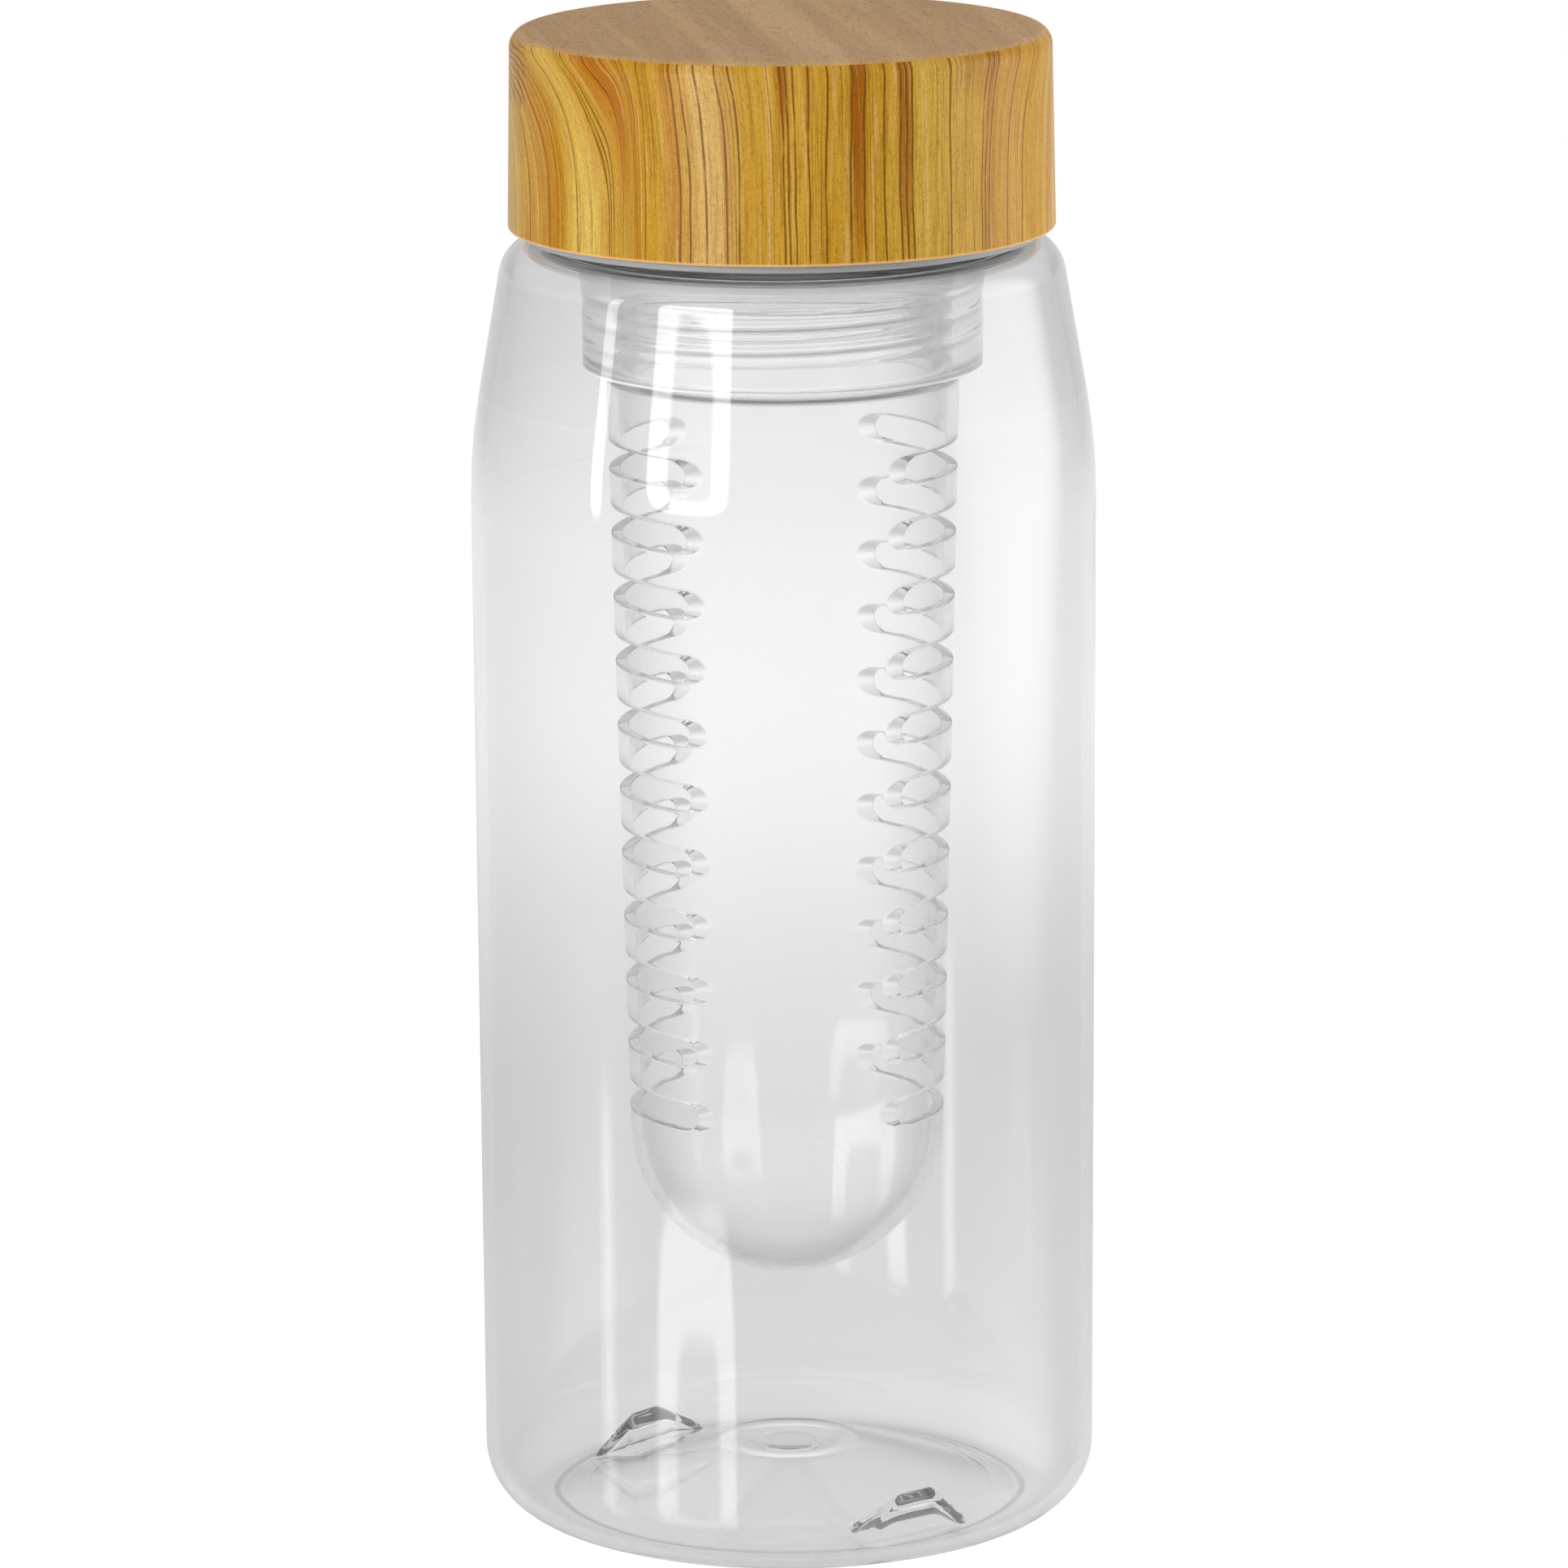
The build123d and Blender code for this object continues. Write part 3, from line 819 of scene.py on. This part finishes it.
def build_basket():
    """The slotted basket: neck with its thread, drafted tube with rows of slots, and a round bottom."""
    mesher = Mesher()
    direction = radians(slot_direction)
    step = 2 * pi / basket_columns
    start = direction - cell_columns / 2 * step
    turn = start + np.arange(basket_columns) * step
    levels = slot_count * cell_rows + 1
    firsts = (0, basket_columns // 2)

    def in_cell(column):
        return any(0 < (column - first) % basket_columns < cell_columns for first in firsts)

    def surface(inset):
        grid = {}
        for level in range(levels):
            height = cells_top - level * slot_pitch / cell_rows
            columns = [c for c in range(basket_columns) if level % cell_rows == 0 or not in_cell(c)]
            radius = float(basket_radius(height, inset))
            made = mesher.add([(radius * cos(turn[c]), radius * sin(turn[c]), height) for c in columns])
            grid.update({(c, level): made[i] for i, c in enumerate(columns)})
        for level in range(levels - 1):
            for c in range(basket_columns):
                after = (c + 1) % basket_columns
                if not (in_cell(c) or in_cell(after)):
                    quad = [grid[c, level], grid[c, level + 1], grid[after, level + 1], grid[after, level]]
                    mesher.faces.append(tuple(quad))
        return grid

    def slot_loops(row, first, inset, grid):
        """Rings from a cell's edge in to its slot, on one face of the wall, and over the slot's edge."""
        places = cell_edge(first, row * cell_rows)
        loop = [grid[c % basket_columns, level] for c, level in places]
        edge_turn = np.array([-cell_columns / 2 * step + (c - first) * step for c, level in places])
        edge_height = np.array([cells_top - level * slot_pitch / cell_rows for c, level in places])
        middle = direction + (pi if first else 0)
        rim = slot_outline(row, slot_edge_blend)
        rim_turn = np.arcsin(rim[:, 0] / basket_radius(rim[:, 1], inset))
        for i in range(1, patch_steps + 1):
            share = 1 - (1 - i / patch_steps) ** patch_crowding
            angle = edge_turn + (rim_turn - edge_turn) * share
            height = edge_height + (rim[:, 1] - edge_height) * share
            radius = basket_radius(height, inset)
            x, y = radius * np.cos(angle + middle), radius * np.sin(angle + middle)
            ring = mesher.add(np.stack((x, y, height), 1))
            mesher.band(loop, ring)
            loop = ring
        for i in range(1, edge_steps + 1):
            bend = pi / 2 * i / edge_steps
            across, height = slot_outline(row, slot_edge_blend * (1 - sin(bend))).T
            depth = slot_edge_blend * (1 - cos(bend)) * (1 if inset == 0 else -1)
            out = np.sqrt(basket_radius(height, inset) ** 2 - across ** 2) - depth
            x = out * cos(middle) - across * sin(middle)
            y = out * sin(middle) + across * cos(middle)
            ring = mesher.add(np.stack((x, y, height), 1))
            mesher.band(loop, ring)
            loop = ring
        return loop

    outer, inner = surface(0), surface(infuser_wall)
    for row in range(slot_count):
        for first in firsts:
            mesher.band(slot_loops(row, first, 0, outer), slot_loops(row, first, infuser_wall, inner))

    def ring_at(radius, height):
        return mesher.add(np.stack((radius * np.cos(turn), radius * np.sin(turn), height + 0 * turn), 1))

    neck_inside = infuser_neck_radius - infuser_wall
    neck = [
        (float(basket_radius(cells_top, 0)), cells_top, 0),
        (infuser_top_radius, collar_foot, infuser_shoulder_blend),
        (infuser_neck_radius, collar_foot, infuser_shoulder_blend),
        (infuser_neck_radius, basket_rim, infuser_rim_blend),
        (neck_inside, basket_rim, infuser_rim_blend),
        (neck_inside, collar_foot - infuser_wall, infuser_shoulder_blend),
        (infuser_top_radius - infuser_wall, collar_foot - infuser_wall, infuser_shoulder_blend),
        (float(basket_radius(cells_top, infuser_wall)), cells_top, 0),
    ]
    path = outline(neck, lambda radius, height: thread_step if height > collar_foot + 0.5 else short_step)
    thread_foot = collar_foot + infuser_thread_start
    thread_turns = (basket_rim - collar_foot) / thread_pitch - infuser_thread_short_turns
    low, high = collar_foot + infuser_plain_foot, basket_rim - infuser_plain_rim
    loop = [outer[c, 0] for c in range(basket_columns)]
    for radius, height in path[1:-1]:
        rise = 0.0
        if radius > infuser_neck_radius - face_tolerance and low < height < high:
            rise = infuser_thread_height * thread_ridge(height, turn % (2 * pi), thread_foot, thread_turns)
        ring = ring_at(radius + rise, height)
        mesher.band(ring, loop)
        loop = ring
    mesher.band([inner[c, 0] for c in range(basket_columns)], loop)

    last = levels - 1
    cells_bottom = cells_top - last * slot_pitch / cell_rows
    for grid, inset in ((outer, 0), (inner, infuser_wall)):
        radius = infuser_dome_radius - inset
        first_angle = acos((dome_centre - cells_bottom) / radius)
        loop = [grid[c, last] for c in range(basket_columns)]
        for i in range(1, dome_steps):
            angle = first_angle * (1 - i / dome_steps)
            ring = ring_at(radius * sin(angle), dome_centre - radius * cos(angle))
            mesher.band(loop, ring)
            loop = ring
        pole = mesher.add([(0, 0, dome_centre - radius)])[0]
        mesher.faces += [(loop[j], pole, loop[(j + 1) % basket_columns]) for j in range(basket_columns)]

    return mesh_object("fruit_basket", mesher.points, mesher.faces, "infuser",
                       ["infuser_basket"], basket_plastic)


bottle = build_bottle()
gasket = build_gasket()
shell = build_shell()
liner = build_liner()
basket = build_basket()

# Every face looks out of its piece, as clear plastics need
for piece in (bottle, gasket, shell, liner, basket):
    bpy.context.view_layer.objects.active = piece
    piece.select_set(True)
    bpy.ops.object.mode_set(mode="EDIT")
    bpy.ops.mesh.select_all(action="SELECT")
    bpy.ops.mesh.normals_make_consistent(inside=False)
    bpy.ops.object.mode_set(mode="OBJECT")
    piece.select_set(False)


# Floor, world, lamps and camera, with lengths in metres

floor_half_side = 3.0
floor_tone, floor_glow = (0.45, 0.45, 0.45, 1), 0.68
# Floor as gloss and glass see it, as (from distance, to distance, start level, end level), added up: painted
# shade darkens it near the bottle, and it dims again far off
floor_seen_levels = ((0.20, 0.56, 0.21, 0.68), (0.70, 1.4, 0.0, -0.19))
floor_gloss_roughness, floor_gloss_bending = 0.03, 1.8
world_fill, world_horizon, world_zenith, zenith_height = 0.70, 0.5, 0.95, 0.6
upright_powers, round_powers = (4.0, 9.0), (2.0, 2.0)
# Dim middle of the framed lamp, as (centre across, half width, centre along, half height), and how dim it is
frame_hollow, hollow_dimming = (0.055, 0.515, -0.35, 0.46), 0.9
# The camera's sensor and lens are in millimetres, and its pitch and roll in radians
camera_sensor, camera_lens = 36.0, 206.33
camera_place = (-0.178 * MM, -1188.48 * MM, 358.56 * MM)
camera_pitch, camera_roll = 0.21402, -0.0062
clear_bounces = 128


def build_floor():
    """A plain pale floor: white to the camera, and glossy; to gloss and glass it glows greyer near the
    bottle, as painted shade.
    """
    side = floor_half_side
    mesh = bpy.data.meshes.new("floor")
    corners = [(-side, -side, 0), (side, -side, 0), (side, side, 0), (-side, side, 0)]
    mesh.from_pydata(corners, [], [(0, 1, 2, 3)])
    floor = bpy.data.objects.new("floor", mesh)
    bpy.context.scene.collection.objects.link(floor)
    material, tree, out = new_material("floor_white")
    path = node(tree, "ShaderNodeLightPath")
    place = node(tree, "ShaderNodeNewGeometry").outputs["Position"]
    reach = node(tree, "ShaderNodeVectorMath", [(0, place)], operation="LENGTH").outputs["Value"]
    seen = math_node(tree, "MAXIMUM", path.outputs["Is Glossy Ray"], path.outputs["Is Transmission Ray"])
    # Painted shade: the glow that gloss and glass see is lower near the bottle
    painted_shade_near_to_far = math_node(tree, "ADD", *(blend_range(tree, reach, *levels) for levels in floor_seen_levels))
    level = math_node(tree, "ADD", math_node(tree, "MULTIPLY", path.outputs["Is Camera Ray"], floor_glow),
                      math_node(tree, "MULTIPLY", seen, painted_shade_near_to_far))
    matte = node(tree, "ShaderNodeBsdfDiffuse", [("Color", floor_tone)])
    glow = node(tree, "ShaderNodeEmission", [("Color", (1, 1, 1, 1)), ("Strength", level)])
    both = node(tree, "ShaderNodeAddShader", [(0, matte.outputs[0]), (1, glow.outputs[0])])
    gloss = node(tree, "ShaderNodeBsdfGlossy", [
        ("Color", (1, 1, 1, 1)), ("Roughness", floor_gloss_roughness)])
    fresnel = node(tree, "ShaderNodeFresnel", [("IOR", floor_gloss_bending)])
    share = math_node(tree, "MULTIPLY", fresnel.outputs[0], path.outputs["Is Glossy Ray"])
    surface = node(tree, "ShaderNodeMixShader", [(0, share), (1, both.outputs[0]), (2, gloss.outputs[0])])
    tree.links.new(surface.outputs[0], out.inputs["Surface"])
    mesh.materials.append(material)


def build_world():
    """A white surround for the camera, greyer at the horizon for gloss and glass, and an even fill."""
    world = bpy.data.worlds.new("studio")
    bpy.context.scene.world = world
    world.use_nodes = True
    tree = world.node_tree
    tree.nodes.clear()
    path = node(tree, "ShaderNodeLightPath")
    place = node(tree, "ShaderNodeTexCoord").outputs["Generated"]
    height = node(tree, "ShaderNodeSeparateXYZ", [("Vector", place)]).outputs[2]
    seen = math_node(tree, "MAXIMUM", path.outputs["Is Glossy Ray"], path.outputs["Is Transmission Ray"])
    surround = blend_range(tree, height, 0.0, zenith_height, world_horizon, world_zenith)
    level = node(tree, "ShaderNodeMix", [(0, seen), (2, world_fill), (3, surround)]).outputs[0]
    level = node(tree, "ShaderNodeMix", [(0, path.outputs["Is Camera Ray"]), (2, level), (3, 1.0)]).outputs[0]
    back = node(tree, "ShaderNodeBackground", [("Color", (1, 1, 1, 1)), ("Strength", level)])
    out = node(tree, "ShaderNodeOutputWorld")
    tree.links.new(back.outputs[0], out.inputs["Surface"])


def soft_lamp(name, azimuth, distance, low, high, width, radiance, soft, powers, framed=False):
    """An upright soft box at an azimuth in degrees, from a low to a high edge, seen only in gloss.

    Its round-cornered edge fades over a share of its half size. A framed one has a bright border."""
    lamp = bpy.data.lights.new(name, "AREA")
    lamp.shape = "RECTANGLE"
    lamp.size, lamp.size_y = width, high - low
    lamp.energy = radiance * pi * width * (high - low)
    lamp.use_nodes = True
    tree = lamp.node_tree
    tree.nodes.clear()
    place = node(tree, "ShaderNodeNewGeometry").outputs["Parametric"]
    axes = node(tree, "ShaderNodeSeparateXYZ", [("Vector", place)])
    across, along = (math_node(tree, "MULTIPLY_ADD", axes.outputs[i], 2.0, -1.0) for i in (0, 1))

    def rounded(middle_across, half_across, middle_along, half_along):
        """Rises from 0 in the middle of a round-cornered box to 1 on its edge and beyond."""
        parts = []
        for value, middle, half, power in ((across, middle_across, half_across, powers[0]),
                                           (along, middle_along, half_along, powers[1])):
            off = math_node(tree, "DIVIDE", math_node(tree, "SUBTRACT", value, middle), half)
            parts.append(math_node(tree, "POWER", math_node(tree, "ABSOLUTE", off), power))
        return math_node(tree, "ADD", *parts)

    level = blend_range(tree, rounded(0.0, 1.0, 0.0, 1.0), 1.0, (1 - soft) ** 4)
    if framed:
        inside = blend_range(tree, rounded(*frame_hollow), 1.5, 0.5)
        border = math_node(tree, "MULTIPLY_ADD", inside, -hollow_dimming, 1.0)
        level = math_node(tree, "MULTIPLY", level, border)
    glow = node(tree, "ShaderNodeEmission", [("Strength", level)])
    out = node(tree, "ShaderNodeOutputLight")
    tree.links.new(glow.outputs[0], out.inputs["Surface"])
    holder = bpy.data.objects.new(name, lamp)
    bpy.context.scene.collection.objects.link(holder)
    turn = radians(azimuth)
    holder.location = (sin(turn) * distance, -cos(turn) * distance, (low + high) / 2)
    holder.rotation_euler = Euler((pi / 2, 0, turn))
    holder.visible_camera = False
    holder.visible_transmission = False
    return holder


def build_lamps():
    """Soft boxes at the left front and the right side, and a thin strip at the left."""
    soft_lamp("key", azimuth=-34.5, distance=0.60, low=0.100, high=0.400, width=0.335, radiance=10.5,
              soft=0.08, powers=upright_powers, framed=True)
    soft_lamp("side", azimuth=90.0, distance=0.30, low=-0.02, high=0.42, width=0.40, radiance=3.7,
              soft=1.0, powers=round_powers)
    soft_lamp("strip", azimuth=-70.0, distance=0.60, low=0.07, high=0.43, width=0.06, radiance=7.0,
              soft=0.3, powers=upright_powers)


def build_camera():
    """The photograph's view, as fitted to the bottle's outline."""
    camera = bpy.data.cameras.new("camera")
    camera.sensor_width = camera_sensor
    camera.lens = camera_lens
    holder = bpy.data.objects.new("camera", camera)
    bpy.context.scene.collection.objects.link(holder)
    holder.location = camera_place
    tilt, roll = Euler((pi / 2 - camera_pitch, 0, 0)).to_matrix(), Euler((0, 0, camera_roll)).to_matrix()
    holder.rotation_euler = (tilt @ roll).to_euler()
    bpy.context.scene.camera = holder


build_floor()
build_world()
build_lamps()
build_camera()
bpy.context.scene.view_settings.view_transform = "Standard"
# Light that is caught in a clear wall takes many turns to get out
for bounces in ("max_bounces", "transmission_bounces", "glossy_bounces"):
    setattr(bpy.context.scene.cycles, bounces, clear_bounces)
